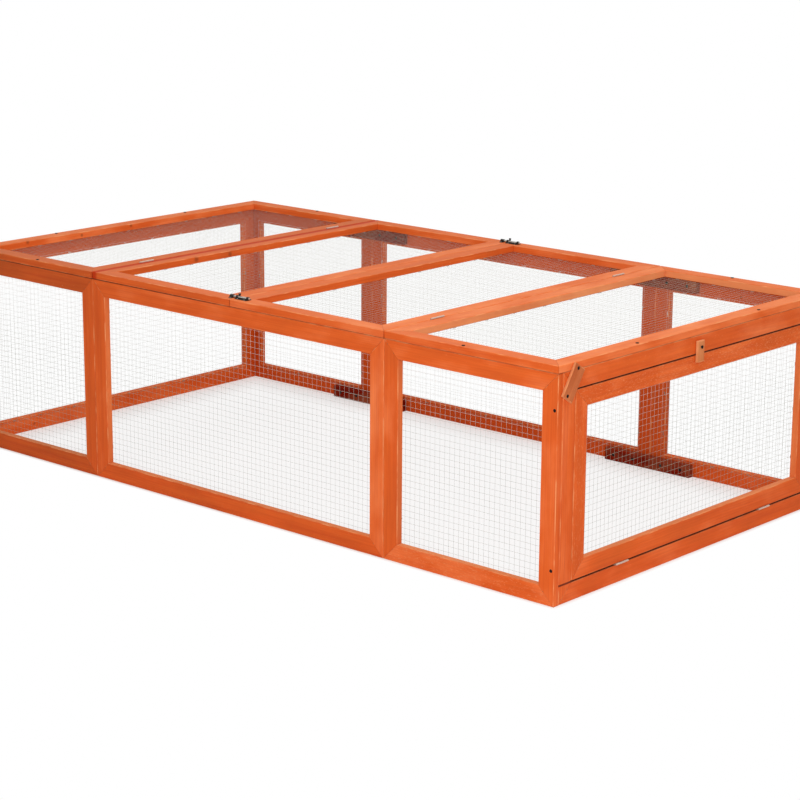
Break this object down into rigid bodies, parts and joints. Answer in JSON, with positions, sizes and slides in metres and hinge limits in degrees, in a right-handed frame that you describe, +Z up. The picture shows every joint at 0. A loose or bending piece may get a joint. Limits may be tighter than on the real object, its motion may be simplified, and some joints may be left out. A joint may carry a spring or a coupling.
{
  "type": "guinea pig run",
  "caption": "Low stained-wood run with wire netting walls, two hinged roof lids closed by barrel bolts, and a drop-down end door held by a turn button.",
  "frame": {"origin": "middle of the ground rectangle that the run stands on", "axes": "+X along the length towards the door end, -Y towards the long front side, +Z up"},
  "size_m": [1.824, 0.97, 0.5026],
  "materials": {
    "stained_wood": "satin orange stain on planed fir",
    "raw_stained_block": "matte, darker stain",
    "galvanised_wire": "galvanised, dull",
    "plated_steel": "zinc plated, satin",
    "black_screw": "black phosphate, satin",
    "dark_zinc": "dark zinc, satin"
  },
  "bodies": {
    "run": {"front_left_frame": "stained_wood", "front_centre_frame": "stained_wood", "front_right_frame": "stained_wood", "back_left_frame": "stained_wood", "back_centre_frame": "stained_wood", "back_right_frame": "stained_wood", "plain_end_frame": "stained_wood", "doorway_frame": "stained_wood", "roof_left_frame": "stained_wood", "roof_right_frame": "stained_wood", "front_left_net": "galvanised_wire", "front_centre_net": "galvanised_wire", "front_right_net": "galvanised_wire", "back_left_net": "galvanised_wire", "back_centre_net": "galvanised_wire", "back_right_net": "galvanised_wire", "plain_end_net": "galvanised_wire", "roof_left_net": "galvanised_wire", "roof_right_net": "galvanised_wire", "bottom_joining_blocks": "raw_stained_block", "top_joining_blocks": "raw_stained_block", "corner_cleats": "stained_wood", "joining_block_screws": "black_screw", "corner_screws": "black_screw", "roof_screws": "black_screw", "cleat_screws": "black_screw", "button_screw": "black_screw", "left_lid_fixed_leaves": "plated_steel", "right_lid_fixed_leaves": "plated_steel", "door_fixed_leaves": "plated_steel", "lid_hinge_pins": "plated_steel", "door_hinge_pins": "plated_steel", "fixed_leaf_screws": "plated_steel", "run_mitre_pins": "plated_steel"},
    "left_lid": {"left_lid_frame": "stained_wood", "left_lid_net": "galvanised_wire", "left_lid_hinge_leaves": "plated_steel", "left_lid_hinge_screws": "plated_steel", "left_lid_mitre_pins": "plated_steel", "bolt_keepers": "dark_zinc", "keeper_screws": "plated_steel"},
    "right_lid": {"right_lid_frame": "stained_wood", "right_lid_net": "galvanised_wire", "right_lid_hinge_leaves": "plated_steel", "right_lid_hinge_screws": "plated_steel", "right_lid_mitre_pins": "plated_steel", "bolt_plates": "dark_zinc", "bolt_plate_screws": "plated_steel"},
    "front_bolt": {"front_bolt_rod": "plated_steel"},
    "back_bolt": {"back_bolt_rod": "plated_steel"},
    "door": {"door_frame": "stained_wood", "door_net": "galvanised_wire", "door_hinge_leaves": "plated_steel", "door_hinge_screws": "plated_steel", "door_mitre_pins": "plated_steel"},
    "button": {"turn_button": "stained_wood"}
  },
  "joints": [
    {"name": "left_lid_hinge", "type": "hinge", "parent": "run", "child": "left_lid", "pos_m": [-0.45375, 0, 0.4914], "axis": [0, -1, 0], "range_deg": [0, 176]},
    {"name": "right_lid_hinge", "type": "hinge", "parent": "run", "child": "right_lid", "pos_m": [0.45375, 0, 0.4914], "axis": [0, 1, 0], "range_deg": [0, 176]},
    {"name": "door_hinge", "type": "hinge", "parent": "run", "child": "door", "pos_m": [0.9089, 0, 0.0402], "axis": [0, 1, 0], "range_deg": [0, 95]},
    {"name": "button_turn", "type": "hinge", "parent": "run", "child": "button", "pos_m": [0.9079, -0.013, 0.45], "axis": [1, 0, 0], "range_deg": [-180, 180]},
    {"name": "front_bolt_slide", "type": "slide", "parent": "right_lid", "child": "front_bolt", "axis": [1, 0, 0], "range_m": [0, 0.019]},
    {"name": "back_bolt_slide", "type": "slide", "parent": "right_lid", "child": "back_bolt", "axis": [1, 0, 0], "range_m": [0, 0.019]}
  ]
}
